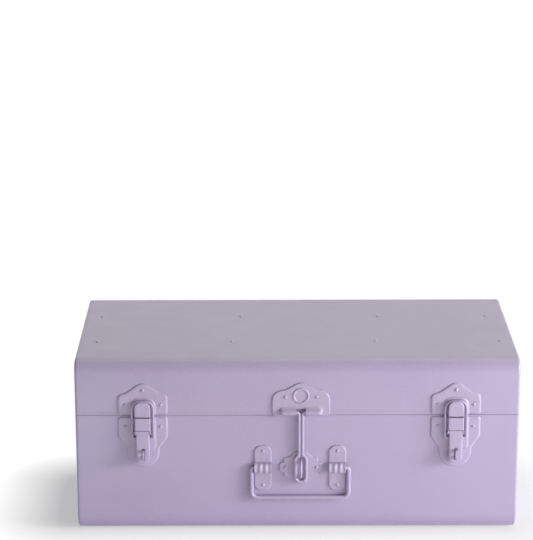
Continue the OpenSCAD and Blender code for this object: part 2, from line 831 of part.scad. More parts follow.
// Plate with a round lobe at each end and a flat-topped crown above and below.
module staple_outline() {
    half = 19.5;
    tall = 12.1;
    lobe = 6.2;
    crown = 7.2;
    translate([0, -62.3]) {
        square([2 * half - 2 * $inset, 2 * tall - 2 * $inset], center = true);
        for (s = [-1, 1]) translate([s * (half - 1.2), 0]) circle(lobe - $inset);
        for (s = [-1, 1]) scale([1, s]) polygon([
            [-14 + $inset, 0], [-14 + $inset, tall - $inset], [-5.5 + $inset / 2, tall + crown - $inset],
            [5.5 - $inset / 2, tall + crown - $inset], [14 - $inset, tall - $inset], [14 - $inset, 0]]);
    }
}

module staple_plate() {
    color(lilac) on_front(hasp_shift) difference() {
        pressed_plate() staple_outline();
        for (p = staple_rivets_xy) translate(p) rivet_hole();
        for (s = [-1, 1]) translate([0, -staple_down + s * staple_half])
            cylinder(r = staple_wire + fit_gap, h = cut, center = true);
    }
}

module staple_plate_rivets() {
    color(lilac) on_front(hasp_shift)
        for (p = staple_rivets_xy) translate([p[0], p[1], plate_height]) rivet(rivet_grip);
}

module staple() {
    color(lilac) on_front(hasp_shift) translate([0, -staple_down, 0]) {
        translate([0, 0, staple_leg]) rotate([0, 90, 0]) wire_bend(staple_wire, staple_half, 90, 180);
        for (s = [-1, 1]) translate([0, s * staple_half, 0]) {
            translate([0, 0, -sheet - rivet_tail]) cylinder(r = staple_wire, h = staple_leg + sheet + rivet_tail);
            translate([0, 0, -sheet - rivet_tail]) cylinder(r = staple_wire + 1, h = rivet_tail);
        }
    }
}

// ---- handle ----

module bracket_outline() {
    half = bracket_half - $inset;
    round_end = 8;
    translate([-half, -bracket_bottom + round_end]) square([2 * half, bracket_bottom - bracket_top - 2 * round_end]);
    translate([-bracket_half + round_end, -bracket_bottom + $inset])
        square([2 * bracket_half - 2 * round_end, bracket_bottom - bracket_top - 2 * $inset]);
    for (sx = [-1, 1]) for (y = [-bracket_bottom + round_end, -bracket_top - round_end])
        translate([sx * (bracket_half - round_end), y]) circle(round_end - $inset);
}

// Strap bracket: flat ends, a swelling over the wire and three raised loops.
module handle_bracket(x) {
    tube = tunnel + plate_sheet + 0.3;
    loop = tube + 0.9;
    rise = tube - curve_lap;
    on_front(x) difference() {
        union() {
            pressed_plate() bracket_outline();
            translate([0, -handle_pivot, 0]) {
                translate([0, 0, handle_stand]) rotate([0, 90, 0]) {
                    cylinder(r = tube, h = 2 * bracket_half, center = true);
                    for (i = [-1, 0, 1]) translate([0, 0, i * loop_pitch])
                        cylinder(r = loop, h = loop_pitch * 0.55, center = true);
                }
                for (s = [-1, 1]) scale([1, s, 1]) rotate([90, 0, 90])
                    linear_extrude(height = 2 * bracket_half, center = true) polygon([
                        [0, 0.4], [tube + 2.4, 0.4], [tube + 2.4, plate_height - 0.1],
                        [rise * sin(50), handle_stand + rise * cos(50)], [0, handle_stand]]);
            }
        }
        translate([0, -handle_pivot, handle_stand]) rotate([0, 90, 0]) cylinder(r = tunnel, h = cut, center = true);
        translate([-cut / 2, -handle_pivot - tunnel, -cut]) cube([cut, 2 * tunnel, cut + handle_stand]);
        translate([-cut / 2, -handle_pivot - tunnel - 4, -cut]) cube([cut, 2 * tunnel + 8, cut + 0.5]);
        for (y = bracket_rivets_y) translate([0, y]) rivet_hole();
    }
}

module handle_bracket_left() {
    color(lilac) handle_bracket(handle_shift - bracket_spread);
}

module handle_bracket_right() {
    color(lilac) handle_bracket(handle_shift + bracket_spread);
}

module handle_bracket_rivets() {
    color(lilac) for (s = [-1, 1]) on_front(handle_shift + s * bracket_spread)
        for (y = bracket_rivets_y) translate([0, y, plate_height]) rivet(rivet_grip);
}

module handle() {
    top_bend = handle_wire + 0.1;
    low_bend = handle_wire + 4.5;
    end_x = bracket_spread - bracket_half + 0.5;
    color(lilac) on_front(handle_shift) translate([0, 0, handle_stand]) {
        translate([-arm_x + low_bend, -handle_bar, 0]) wire_x(handle_wire, 2 * arm_x - 2 * low_bend);
        for (s = [0, 1]) mirror([s, 0, 0]) {
            translate([arm_x - low_bend, -handle_bar + low_bend, 0]) wire_bend(handle_wire, low_bend, 270, 90);
            translate([arm_x, -handle_bar + low_bend, 0])
                wire_y(handle_wire, handle_bar - handle_pivot - low_bend - top_bend);
            translate([arm_x - top_bend, -handle_pivot - top_bend, 0]) wire_bend(handle_wire, top_bend, 0, 90);
            translate([end_x, -handle_pivot, 0]) wire_x(handle_wire, arm_x - top_bend - end_x);
        }
    }
}

// ---- rear hinges ----

// One leaf seen from the axis: Z is up or down by the sign, knuckles at the given slots.
module hinge_leaf(x, up, slots) {
    translate([x, axis_y, axis_z]) mirror([0, 0, up > 0 ? 0 : 1]) difference() {
        union() {
            translate([-hinge_half, -hinge_back, knuckle_cut])
                cube([2 * hinge_half, leaf_sheet, leaf_height - knuckle_cut]);
            for (i = slots) translate([i * knuckle_length - knuckle_length / 2 + knuckle_play, 0, 0]) {
                translate([0, -hinge_back, 0.2]) cube([knuckle_length - 2 * knuckle_play, leaf_sheet, knuckle_cut]);
                wire_x(knuckle_radius, knuckle_length - 2 * knuckle_play);
            }
        }
        translate([-cut, 0, 0]) wire_x(hinge_pin + fit_gap, 2 * cut);
        for (rx = leaf_rivets_x) translate([rx, 0, leaf_rivet_z(rx)]) rotate([90, 0, 0]) rivet_hole();
    }
}

module hinge_base_leaf_left() {
    color(lilac) hinge_leaf(-hinge_spread, -1, [-2, 0, 2]);
}

module hinge_base_leaf_right() {
    color(lilac) hinge_leaf(hinge_spread, -1, [-2, 0, 2]);
}

module hinge_lid_leaf_left() {
    color(lilac) hinge_leaf(-hinge_spread, 1, [-1, 1]);
}

module hinge_lid_leaf_right() {
    color(lilac) hinge_leaf(hinge_spread, 1, [-1, 1]);
}

module hinge_pin_at(x) {
    head = 0.8;
    translate([x - hinge_half - head, axis_y, axis_z]) {
        wire_x(hinge_pin, 2 * hinge_half + 2 * head);
        wire_x(hinge_pin + 0.8, head);
        translate([2 * hinge_half + head, 0, 0]) wire_x(hinge_pin + 0.8, head);
    }
}

module hinge_pin_left() {
    color(steel) hinge_pin_at(-hinge_spread);
}

module hinge_pin_right() {
    color(steel) hinge_pin_at(hinge_spread);
}

module leaf_rivets(up) {
    for (s = [-1, 1]) for (x = leaf_rivets_x)
        translate([s * hinge_spread + x, trunk_depth / 2 + leaf_sheet, axis_z + up * leaf_rivet_z(x)])
            rotate([-90, 0, 0]) rivet(leaf_sheet + sheet);
}

module hinge_base_rivets() {
    color(lilac) leaf_rivets(-1);
}

module hinge_lid_rivets() {
    color(lilac) leaf_rivets(1);
}

// ---- slotted lid stays, drawn on the left end and mirrored to the right ----

// Stepped stud on the inside of an end wall: boss, neck through the bar, flat head.
module stud(z) {
    boss = stay_x_gap();
    translate([-trunk_width / 2, stay_y, z]) rotate([0, 90, 0]) {
        translate([0, 0, -rivet_tail]) cylinder(r = rivet_head, h = rivet_tail);
        cylinder(r = rivet_shank, h = sheet + 1);
        translate([0, 0, sheet]) cylinder(r = boss_radius, h = boss - sheet);
        translate([0, 0, boss - 0.5]) cylinder(r = stay_neck, h = stay_sheet + 1);
        translate([0, 0, boss + stay_sheet + 0.4]) cylinder(r = boss_radius, h = 1.2);
    }
}

function stay_x_gap() = trunk_width / 2 - stay_x - stay_sheet;

module stay_stud_left() {
    color(steel) stud(axis_z - stay_rise);
}

module stay_stud_right() {
    color(steel) mirror([1, 0, 0]) stud(axis_z - stay_rise);
}

module stay_pivot_left() {
    color(steel) stud(axis_z + stay_rise);
}

module stay_pivot_right() {
    color(steel) mirror([1, 0, 0]) stud(axis_z + stay_rise);
}

module stay_bar() {
    slot = stay_neck + 0.3;
    long = stay_stop + stay_tail - stay_half;
    translate([-trunk_width / 2 + stay_x_gap() + 0.2, stay_y, axis_z + stay_rise]) rotate([0, 90, 0])
        linear_extrude(height = stay_sheet) difference() {
            union() {
                circle(stay_half);
                translate([0, -stay_half]) square([long, 2 * stay_half]);
                translate([long, 0]) circle(stay_half);
            }
            circle(stay_neck + fit_gap);
            translate([stay_start, 0]) circle(slot);
            translate([stay_start, -slot]) square([stay_stop - stay_start, 2 * slot]);
            translate([stay_stop, 0]) circle(slot);
        }
}

module lid_stay_left() {
    color(steel) stay_bar();
}

module lid_stay_right() {
    color(steel) mirror([1, 0, 0]) stay_bar();
}

base_wrap();
base_end_left();
base_end_right();
base_collar();
latch_plate_left();
latch_plate_right();
latch_pin_left();
latch_pin_right();
latch_plate_rivets();
staple_plate();
staple();
staple_plate_rivets();
handle_bracket_left();
handle_bracket_right();
handle_bracket_rivets();
hinge_base_leaf_left();
hinge_base_leaf_right();
hinge_pin_left();
hinge_pin_right();
hinge_base_rivets();
stay_stud_left();
stay_stud_right();
lid_wrap();
lid_end_left();
lid_end_right();
lid_batten_front();
lid_batten_rear();
batten_rivets();
keeper_left();
keeper_right();
keeper_rivets();
hasp_plate();
hasp_plate_rivets();
hinge_lid_leaf_left();
hinge_lid_leaf_right();
hinge_lid_rivets();
stay_pivot_left();
stay_pivot_right();
latch_lever_left();
latch_lever_right();
latch_bail_left();
latch_bail_right();
hasp_loop();
handle();
lid_stay_left();
lid_stay_right();
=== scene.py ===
# Small tin trunk in lilac enamel, dressed on its CAD frame. Metres, +Z up, front toward -Y.
import json
from math import asin, cos, degrees, pi, radians, sin, tan

import bpy
from mathutils import Matrix, Vector


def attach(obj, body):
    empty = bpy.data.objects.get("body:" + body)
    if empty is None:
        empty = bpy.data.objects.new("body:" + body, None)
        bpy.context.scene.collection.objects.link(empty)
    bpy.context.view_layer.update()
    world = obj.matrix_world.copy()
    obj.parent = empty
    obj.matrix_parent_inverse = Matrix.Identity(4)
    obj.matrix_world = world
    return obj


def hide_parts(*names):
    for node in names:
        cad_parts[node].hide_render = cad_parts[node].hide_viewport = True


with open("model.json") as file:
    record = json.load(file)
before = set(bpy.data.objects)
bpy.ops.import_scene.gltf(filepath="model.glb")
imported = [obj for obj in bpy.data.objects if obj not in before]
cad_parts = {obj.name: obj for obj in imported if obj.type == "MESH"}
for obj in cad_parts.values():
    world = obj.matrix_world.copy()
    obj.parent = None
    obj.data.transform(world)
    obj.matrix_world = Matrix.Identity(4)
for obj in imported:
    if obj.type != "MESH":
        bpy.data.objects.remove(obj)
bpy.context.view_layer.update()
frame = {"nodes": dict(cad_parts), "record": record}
scene = bpy.context.scene
scene.view_settings.view_transform = "Standard"


# ---- Camera -------------------------------------------------------------------------------------
# A long lens 2.3 m in front of the trunk, a little left of its middle, looking 16 degrees down.
# Its place comes from a fit to the box's corners and edges in the photograph.

sensor_width, picture_height = 36, 540
focal_pixels = 2162.98
stand = Vector((-0.038222, -2.419418, 0.965655))
pitch, yaw, roll = radians(15.95), radians(0.095), radians(0.11)

camera_data = bpy.data.cameras.new("camera")
camera_data.sensor_width = sensor_width
camera_data.lens = focal_pixels * sensor_width / picture_height
camera_data.clip_end = 50
camera = bpy.data.objects.new("camera", camera_data)
scene.collection.objects.link(camera)
ahead = Vector((sin(yaw) * cos(pitch), cos(yaw) * cos(pitch), -sin(pitch)))
level = Vector((cos(yaw), -sin(yaw), 0))
upright = level.cross(ahead)
side = level * cos(roll) - upright * sin(roll)
top = level * sin(roll) + upright * cos(roll)
camera.matrix_world = Matrix((
    (side.x, top.x, -ahead.x, stand.x),
    (side.y, top.y, -ahead.y, stand.y),
    (side.z, top.z, -ahead.z, stand.z),
    (0, 0, 0, 1)))
scene.camera = camera


# ---- Enamel -------------------------------------------------------------------------------------
# Stoved satin enamel sprayed on steel sheet: one lilac coat over box and fittings alike.
# It has a soft wide highlight, a faint orange peel, a paler film on the edges, and on top a grey that is
# partly dust and partly a painted sheen.

def linear(code):
    """Colour for a shader from its sRGB hex code."""
    values = [int(code[i:i + 2], 16) / 255 for i in (1, 3, 5)]
    return tuple(v / 12.92 if v <= 0.04045 else ((v + 0.055) / 1.055) ** 2.4 for v in values) + (1,)


def add_node(tree, kind, links=(), sockets=(), **settings):
    """Adds a shader node with its settings and socket values, and joins (source, output, input) links."""
    item = tree.nodes.new(kind)
    for name, value in settings.items():
        setattr(item, name, value)
    for socket, value in dict(sockets).items():
        item.inputs[socket].default_value = value
    for source, output, socket in links:
        tree.links.new(source.outputs[output], item.inputs[socket])
    return item


def grain(tree, place, scale, detail):
    """Cloudy noise, scale patches to the metre."""
    return add_node(tree, "ShaderNodeTexNoise", [(place, "Object", "Vector")],
                    {"Scale": scale, "Detail": detail})


def span(tree, source, output, low, high, least, most):
    """Carries a value from low..high over to least..most, and holds it there."""
    return add_node(tree, "ShaderNodeMapRange", [(source, output, "Value")],
                    {"From Min": low, "From Max": high, "To Min": least, "To Max": most})


def ramp(tree, source, low, dark, high, light):
    """Colour that runs from dark at low to light at high."""
    item = add_node(tree, "ShaderNodeValToRGB", [(source, 0, 0)])
    for stop, place, code in zip(item.color_ramp.elements, (low, high), (dark, light)):
        stop.position = place
        stop.color = linear(code)
    return item


def blend(tree, share, colour, output, other):
    """Mixes a node's colour with a fixed colour by a node's value."""
    item = add_node(tree, "ShaderNodeMix", [(share, "Result", 0), (colour, output, 6)], data_type="RGBA")
    item.inputs[7].default_value = linear(other)
    return item


def bumps(tree, source, depth, under=None, strength=1.0):
    """Relief of a depth in metres, on top of what lies under it."""
    links = [(source, 0, "Height")] + ([(under, 0, "Normal")] if under else [])
    return add_node(tree, "ShaderNodeBump", links, {"Strength": strength, "Distance": depth})


def enamel(name, colour, deep, rough, peel, dent, hem):
    """Satin enamel: colour drifts a little over the sheet, gloss varies, and the film has its peel."""
    made = bpy.data.materials.new(name)
    made.use_nodes = True
    tree = made.node_tree
    paint = tree.nodes["Principled BSDF"]
    place = add_node(tree, "ShaderNodeTexCoord")
    # colour drifts in patches of 130 mm, with specks of 2 mm
    patches = grain(tree, place, 7.5, 3)
    specks = grain(tree, place, 480, 2)
    drift = add_node(tree, "ShaderNodeMath", [(patches, 0, 0), (specks, 0, 1)], operation="ADD")
    coat = ramp(tree, drift, 0.8, deep, 1.0, colour)
    # the film thins and pales over edges, 0.6 mm wide
    form = add_node(tree, "ShaderNodeNewGeometry")
    round_edge = add_node(tree, "ShaderNodeBevel", samples=4, sockets={"Radius": 0.0006})
    bend = add_node(tree, "ShaderNodeVectorMath", [(round_edge, 0, 0), (form, "Normal", 1)],
                    operation="DOT_PRODUCT")
    pale = blend(tree, span(tree, bend, "Value", 0.98, 0.75, 0.0, 0.45), coat, 0, "#D2C9E0")
    # fine dust, together with a painted sheen of the white backdrop, greys what faces up
    facing = add_node(tree, "ShaderNodeSeparateXYZ", [(form, "Normal", 0)])
    # the grey mixed in here is partly real dust and partly painted sheen standing in for the backdrop's
    # reflection
    dust_and_sheen = blend(tree, span(tree, facing, "Z", 0.55, 1.0, 0.0, 0.3), pale, 2, "#ABA4AC")
    tree.links.new(dust_and_sheen.outputs[2], paint.inputs["Base Color"])
    # gloss is rubbed in patches of 25 mm
    gloss = span(tree, grain(tree, place, 38, 4), 0, 0.3, 0.7, rough - 0.05, rough + 0.05)
    tree.links.new(gloss.outputs[0], paint.inputs["Roughness"])
    # orange peel of 1.5 mm over slow waves of the sheet, 110 mm across, and the step of the folded hem
    waves = bumps(tree, grain(tree, place, 9, 2), dent, round_edge)
    skin = bumps(tree, grain(tree, place, 640, 2), peel, waves)
    height = add_node(tree, "ShaderNodeSeparateXYZ", [(place, "Object", 0)])
    folded = bumps(tree, span(tree, height, "Z", 0.1431, 0.1443, 1.0, 0.0), hem, skin)
    tree.links.new(folded.outputs[0], paint.inputs["Normal"])
    paint.inputs["Coat Weight"].default_value = 0.35
    paint.inputs["Coat Roughness"].default_value = 0.22
    return made


box_paint = enamel("stoved_satin_enamel_box", "#B7AACA", "#B2A5C6", rough=0.42,
                   peel=0.00003, dent=0.0009, hem=0.0003)
fitting_paint = enamel("stoved_satin_enamel_fittings", "#BAADCB", "#B4A7C6", rough=0.33,
                       peel=0.00002, dent=0.0, hem=0.0)


# ---- Zinc plate ---------------------------------------------------------------------------------
# The collar, battens, stays, studs and hinge pins inside are bright zinc-plated steel.
# The plating is milky in patches and carries fine rolling marks along the trunk.

zinc = bpy.data.materials.new("zinc_plated_steel")
zinc.use_nodes = True
tree = zinc.node_tree
plating = tree.nodes["Principled BSDF"]
place = add_node(tree, "ShaderNodeTexCoord")
cloud = ramp(tree, grain(tree, place, 55, 4), 0.35, "#A9ACB0", 0.7, "#C9CBCD")
tree.links.new(cloud.outputs[0], plating.inputs["Base Color"])
long_way = add_node(tree, "ShaderNodeMapping", [(place, "Object", "Vector")], {"Scale": (60, 1400, 1400)})
marks = add_node(tree, "ShaderNodeTexNoise", [(long_way, 0, "Vector")], {"Scale": 1.0, "Detail": 2.0})
tree.links.new(span(tree, marks, 0, 0.3, 0.7, 0.28, 0.42).outputs[0], plating.inputs["Roughness"])
tree.links.new(bumps(tree, marks, 0.00002, strength=0.6).outputs[0], plating.inputs["Normal"])
plating.inputs["Metallic"].default_value = 1


# ---- Box, wires, rivets, hinges and stays -------------------------------------------------------
# Folded wraps, pressed ends, bent wires and turned parts, held together by rivets and seams.
# They keep their solids and take these finishes.

finish_of = {"box_enamel": box_paint, "fittings_enamel": fitting_paint, "zinc_steel": zinc}
for part in frame["record"]["subparts"]:
    piece = frame["nodes"][part["node"]]
    piece.data.materials.clear()
    piece.data.materials.append(finish_of[part["material_slot"]])


# ---- Pressed plates -----------------------------------------------------------------------------
# Every plate is 0.8 mm sheet, cut to its outline, with a soft rim turned down to the wall.
# Rivets hold it. It is drawn in millimetres, X right, Y up from the seam and Z out of the wall.

MILLIMETRE, FRONT_WALL, SEAM = 0.001, -0.125, 0.140
LATCH_X, LATCH_STEP, HASP_X, HANDLE_X = -173.9, 352.0, 4.0, 3.2
PLATE_FRONT, HOLLOW_WALL, HOLLOW_DEPTH = 1.6, 0.9, 0.7


def arc(x, y, radius, start, end, steps=8):
    """Points of an arc about (x, y), its angles in degrees."""
    return [(x + radius * cos(radians(start + (end - start) * i / steps)),
             y + radius * sin(radians(start + (end - start) * i / steps))) for i in range(steps + 1)]


def both_sides(right):
    """Closes an outline from its right half, listed from the bottom up."""
    left = [(-x, y) for x, y in reversed(right) if x > 0.001]
    return right + left


def crowned(half, low, side, top, corner, foot, hollow, slope, dome=12, slot=()):
    """Plate with a domed crown that runs down two slopes into hollow curves above its shoulders."""
    turn = radians(slope)
    drop = top - side - (dome + hollow) * (1 - cos(turn))
    hollow_x = (dome + hollow) * sin(turn) + drop / tan(turn)
    clip = max(0, hollow_x - half + corner)
    start = -90 - degrees(asin(clip / hollow))
    shoulder = arc(half - corner, side - corner, corner, 0, 90)[:-1]
    return both_sides(list(slot) + arc(half - foot, low + foot, foot, -90, 0) + shoulder
                      + arc(hollow_x, side + hollow, hollow, start, -90 - slope)
                      + arc(0, top - dome, dome, 90 - slope, 90))


def only(piece):
    """Makes a piece the active object and the only selected one."""
    bpy.ops.object.select_all(action="DESELECT")
    bpy.context.view_layer.objects.active = piece
    piece.select_set(True)


def settle():
    """Works the new object's place and turn into its mesh and gives it back."""
    bpy.ops.object.transform_apply(location=True, rotation=True, scale=True)
    return bpy.context.object


def lay_flat(name, outline, low, high):
    """Closed slab between two heights over an outline, made active."""
    bpy.ops.object.select_all(action="DESELECT")
    bpy.ops.mesh.primitive_circle_add(vertices=len(outline), fill_type="NGON")
    piece = bpy.context.object
    piece.name = name
    for corner, (x, y) in zip(piece.data.vertices, outline):
        corner.co = (x, y, low)
    bpy.ops.object.mode_set(mode="EDIT")
    bpy.ops.mesh.select_all(action="SELECT")
    bpy.ops.mesh.extrude_region_move(TRANSFORM_OT_translate={"value": (0, 0, high - low)})
    bpy.ops.mesh.select_all(action="SELECT")
    bpy.ops.mesh.normals_make_consistent(inside=False)
    bpy.ops.object.mode_set(mode="OBJECT")
    return piece


def block(name, x0, x1, y0, y1, z0, z1):
    """Square block between its limits along X, Y and Z."""
    return lay_flat(name, [(x0, y0), (x1, y0), (x1, y1), (x0, y1)], z0, z1)


def round_bar(x, y, z, radius, length):
    """Round bar along X, centred on a point."""
    bpy.ops.object.select_all(action="DESELECT")
    bpy.ops.mesh.primitive_cylinder_add(vertices=48, radius=radius, depth=length, location=(x, y, z),
                                        rotation=(0, radians(90), 0))
    return settle()


def stand_up(piece, x=0, way=1):
    """Stands a slab drawn in Y and Z on its edge at x, its thickness along X, or against X with way -1."""
    for corner in piece.data.vertices:
        corner.co = (x + way * corner.co.z, corner.co.x, corner.co.y)
    if way < 0:
        piece.data.flip_normals()
    return piece


def pick_faces(piece, wanted):
    """Enters edit mode with only the wanted faces selected."""
    bpy.context.view_layer.objects.active = piece
    bpy.ops.object.mode_set(mode="EDIT")
    bpy.ops.mesh.select_mode(type="FACE")
    bpy.ops.mesh.select_all(action="DESELECT")
    bpy.ops.object.mode_set(mode="OBJECT")
    for face in piece.data.polygons:
        face.select = wanted(face)
    bpy.ops.object.mode_set(mode="EDIT")


def bevel_rim(piece, wanted, width, steps):
    """Rounds the edge that runs round the wanted faces."""
    pick_faces(piece, wanted)
    bpy.ops.mesh.region_to_loop()
    bpy.ops.mesh.bevel(offset=width, segments=steps, affect="EDGES")
    bpy.ops.object.mode_set(mode="OBJECT")


def hollow_back(piece, wall=HOLLOW_WALL):
    """Presses the back in, leaving a wall round it."""
    back = min(corner.co.z for corner in piece.data.vertices)
    pick_faces(piece, lambda face: face.normal.z < -0.99 and face.center.z < back + 0.01)
    bpy.ops.mesh.inset(thickness=wall)
    bpy.ops.mesh.extrude_region_move(TRANSFORM_OT_translate={"value": (0, 0, HOLLOW_DEPTH)})
    bpy.ops.object.mode_set(mode="OBJECT")


def press(name, outline, low, high, rim):
    """Sheet with its rim turned down from high to low, and a narrow ring that keeps the face flat."""
    slab = rim * 1.08
    piece = lay_flat(name, outline, 0, slab)
    bevel_rim(piece, lambda face: face.normal.z > 0.99 and face.center.z > slab - 0.01, rim, 5)
    pick_faces(piece, lambda face: face.normal.z > 0.999 and face.center.z > slab - 0.001)
    bpy.ops.mesh.inset(thickness=0.15)
    bpy.ops.object.mode_set(mode="OBJECT")
    for corner in piece.data.vertices:
        corner.co.z = low + corner.co.z * (high - low) / slab
    piece.data.update()
    return piece


def join_all(*pieces):
    """Makes one mesh of all pieces under the first one's name."""
    only(pieces[0])
    for piece in pieces:
        piece.select_set(True)
    bpy.ops.object.join()
    return pieces[0]


def cut_out(piece, tool):
    """Takes the tool's space out of a piece and throws the tool away."""
    only(piece)
    cutter = piece.modifiers.new("cut", "BOOLEAN")
    cutter.operation = "DIFFERENCE"
    cutter.solver = "EXACT"
    cutter.object = tool
    bpy.ops.object.modifier_apply(modifier="cut")
    bpy.data.objects.remove(tool)


def hang(piece, x, body, *nodes):
    """Hangs a finished piece on the front wall in metres, rides it on its body and dresses it."""
    only(piece)
    piece.location = (x * MILLIMETRE, FRONT_WALL, SEAM)
    piece.rotation_euler = (radians(90), 0, 0)
    piece.scale = (MILLIMETRE,) * 3
    settle()
    bpy.ops.object.shade_smooth_by_angle(angle=radians(38))
    even = piece.modifiers.new("even", "WEIGHTED_NORMAL")
    even.weight = 100
    even.keep_sharp = True
    bpy.ops.object.modifier_apply(modifier="even")
    piece.data.materials.clear()
    piece.data.materials.append(fitting_paint)
    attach(piece, body)
    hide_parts(*nodes)
    return piece


def twin(piece, name, shift, body, *nodes):
    """Second copy of a hung piece, moved along the trunk, with its own mesh."""
    other = piece.copy()
    other.data = piece.data.copy()
    other.name = name
    scene.collection.objects.link(other)
    other.data.transform(Matrix.Translation((shift * MILLIMETRE, 0, 0)))
    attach(other, body)
    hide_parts(*nodes)


# ---- Keepers ------------------------------------------------------------------------------------
# The upper plate of each latch: a crowned plate, a pressed pad round the bail, and the nose.
# The nose is a hollow box with a shelf for the bail's bar and a round lip that holds it in.
# Three rivets through the plate hold it to the lid.

LATCH_HALF, LATCH_RIM = 28, 2.7
PAD_BACK, PAD_FRONT, PAD_RIM, PAD_HALF = 1.2, 2.6, 2.4, 14.8
NOSE_HALF, NOSE_BACK, LATCH_FRONT, LATCH_WALL = 8.85, 1.4, 8.9, 1.0
nose_bottom, pad_bottom, pad_round, lip_round = 0.5, 1.2, 10.5, 7.5

plate_edge = crowned(LATCH_HALF, low=1.2, side=26, top=38, corner=5.5, foot=3, hollow=13, slope=36.5)
plate = press("keeper_left_skin", plate_edge, 0, PLATE_FRONT, LATCH_RIM)
hollow_back(plate)
pad_edge = both_sides([(PAD_HALF, pad_bottom)] + arc(PAD_HALF - pad_round, 10.9, pad_round, 0, 90, 12))
pad = press("pad", pad_edge, PAD_BACK, PAD_FRONT, PAD_RIM)
shelf_edge = both_sides([(NOSE_HALF, nose_bottom), (NOSE_HALF, 10.9)] + arc(0, 5.5, 10.15, 30, 90, 10))
shelf = lay_flat("shelf", shelf_edge, NOSE_BACK, 8.2)
pick_faces(shelf, lambda face: face.normal.y < -0.99)
bpy.ops.mesh.inset(thickness=LATCH_WALL)
bpy.ops.mesh.extrude_region_move(TRANSFORM_OT_translate={"value": (0, 9, 0)})
bpy.ops.object.mode_set(mode="OBJECT")
lip_edge = both_sides([(NOSE_HALF, nose_bottom)] + arc(NOSE_HALF - lip_round, 11.1, lip_round, 0, 90, 12))
lip = press("lip", lip_edge, LATCH_FRONT - LATCH_WALL, LATCH_FRONT, 1.7)
keeper = hang(join_all(plate, pad, shelf, lip), LATCH_X, "lid", "keeper_left")
twin(keeper, "keeper_right_skin", LATCH_STEP, "lid", "keeper_right")


# ---- Latch plates -------------------------------------------------------------------------------
# The lower plate of each latch carries the hood, whose two cheeks hold the lever's pin,
# and a flat tab with a padlock hole that stands out through the lever's window.

PIN_Y, PIN_Z = -18.2, 6.7
TAB_Y, tab_half, tab_back, tab_reach = -43.6, 5.7, 1.4, 15.7
lobe_y, lobe, hollow, corner, slope = -43.3, 18.3, 9, 4, 36
shoulder_y, top_y = -24, -5.3
hood_bottom, hood_top = -15.35, -0.6


def rounded(corners):
    """Outline with each (x, y, radius) corner rounded by its own radius."""
    outline = []
    for i, (x, y, radius) in enumerate(corners):
        here = Vector((x, y))
        back = (Vector(corners[i - 1][:2]) - here).normalized()
        on = (Vector(corners[(i + 1) % len(corners)][:2]) - here).normalized()
        half = back.angle(on) / 2
        middle = here + (back + on).normalized() * radius / sin(half)
        start, end = (here + way * radius / tan(half) - middle for way in (back, on))
        for step in range(7):
            outline.append(tuple(middle + start.lerp(end, step / 6).normalized() * radius))
    return outline


turn = radians(slope)
drop = LATCH_HALF - lobe - (corner + hollow) * (1 - cos(turn))
waist_y = shoulder_y - (corner + hollow) * sin(turn) - drop / tan(turn)
plate_edge = both_sides(arc(0, lobe_y, lobe, -90, 0, 14)
                        + arc(lobe + hollow, waist_y, hollow, 180, 180 - slope)
                        + arc(LATCH_HALF - corner, shoulder_y, corner, -slope, 0)
                        + arc(LATCH_HALF - corner, top_y, corner, 0, 90))
plate = press("latch_plate_left_skin", plate_edge, 0, PLATE_FRONT, LATCH_RIM)
hollow_back(plate)
pad_edge = both_sides(arc(PAD_HALF - corner, -36, corner, -90, 0) + [(PAD_HALF, -1.3)])
pad = press("pad", pad_edge, PAD_BACK, PAD_FRONT, PAD_RIM)

hood = block("hood", -NOSE_HALF, NOSE_HALF, hood_bottom, hood_top, NOSE_BACK, LATCH_FRONT)
pick_faces(hood, lambda face: False)
bpy.ops.object.mode_set(mode="OBJECT")
for edge in hood.data.edges:
    start, end = (hood.data.vertices[i].co for i in edge.vertices)
    edge.select = min(start.z, end.z) > LATCH_FRONT - 0.5 and abs(start.x - end.x) < 0.01
bpy.ops.object.mode_set(mode="EDIT")
bpy.ops.mesh.select_mode(type="EDGE")
bpy.ops.mesh.bevel(offset=1.4, segments=6, affect="EDGES")
bpy.ops.object.mode_set(mode="OBJECT")
inner = NOSE_HALF - LATCH_WALL
cut_out(hood, block("inside", -inner, inner, -20, 3, 1.0, LATCH_FRONT - LATCH_WALL))

cheek_edge = arc(PIN_Y, PIN_Z, 2.4, 90, 180)
cheek_edge += [(-20.6, NOSE_BACK), (-15.0, NOSE_BACK), (-15.0, 8.0), (-15.6, 8.6)]
cheeks = []
for side in (-1, 1):
    cheek = lay_flat("cheek", cheek_edge, -LATCH_WALL / 2, LATCH_WALL / 2)
    cheeks.append(stand_up(cheek, side * (NOSE_HALF - LATCH_WALL / 2)))

tab_low, tab_high = TAB_Y - tab_half, TAB_Y + tab_half
tab_edge = rounded([(tab_low, tab_back, 0.1), (tab_high, tab_back, 0.1),
                    (tab_high, tab_reach, 3.2), (tab_low, tab_reach, 3.2)])
tab = stand_up(lay_flat("tab", tab_edge, -0.4, 1.6))
cut_out(tab, round_bar(0.6, TAB_Y, 12.0, 2.9, 6))
catch = hang(join_all(plate, pad, hood, tab, *cheeks), LATCH_X, "base", "latch_plate_left")
twin(catch, "latch_plate_right_skin", LATCH_STEP, "base", "latch_plate_right")


# ---- Hasp plate ---------------------------------------------------------------------------------
# Crowned plate with a pressed ring, whose lower edge swells and rolls into the hasp's barrel.
# A notch in the middle of the barrel lets the two strands of the wire come down.

barrel_y, barrel_z, barrel_round, barrel_end = 4.3, 3.6, 3.3, 19.4
notch_half, slot_half, slot_top, plate_low = 5.5, 22, 8.2, -0.8
swell_top, swell_back = 10.8, 0.7
taper_steps, taper_step = 6, 0.85

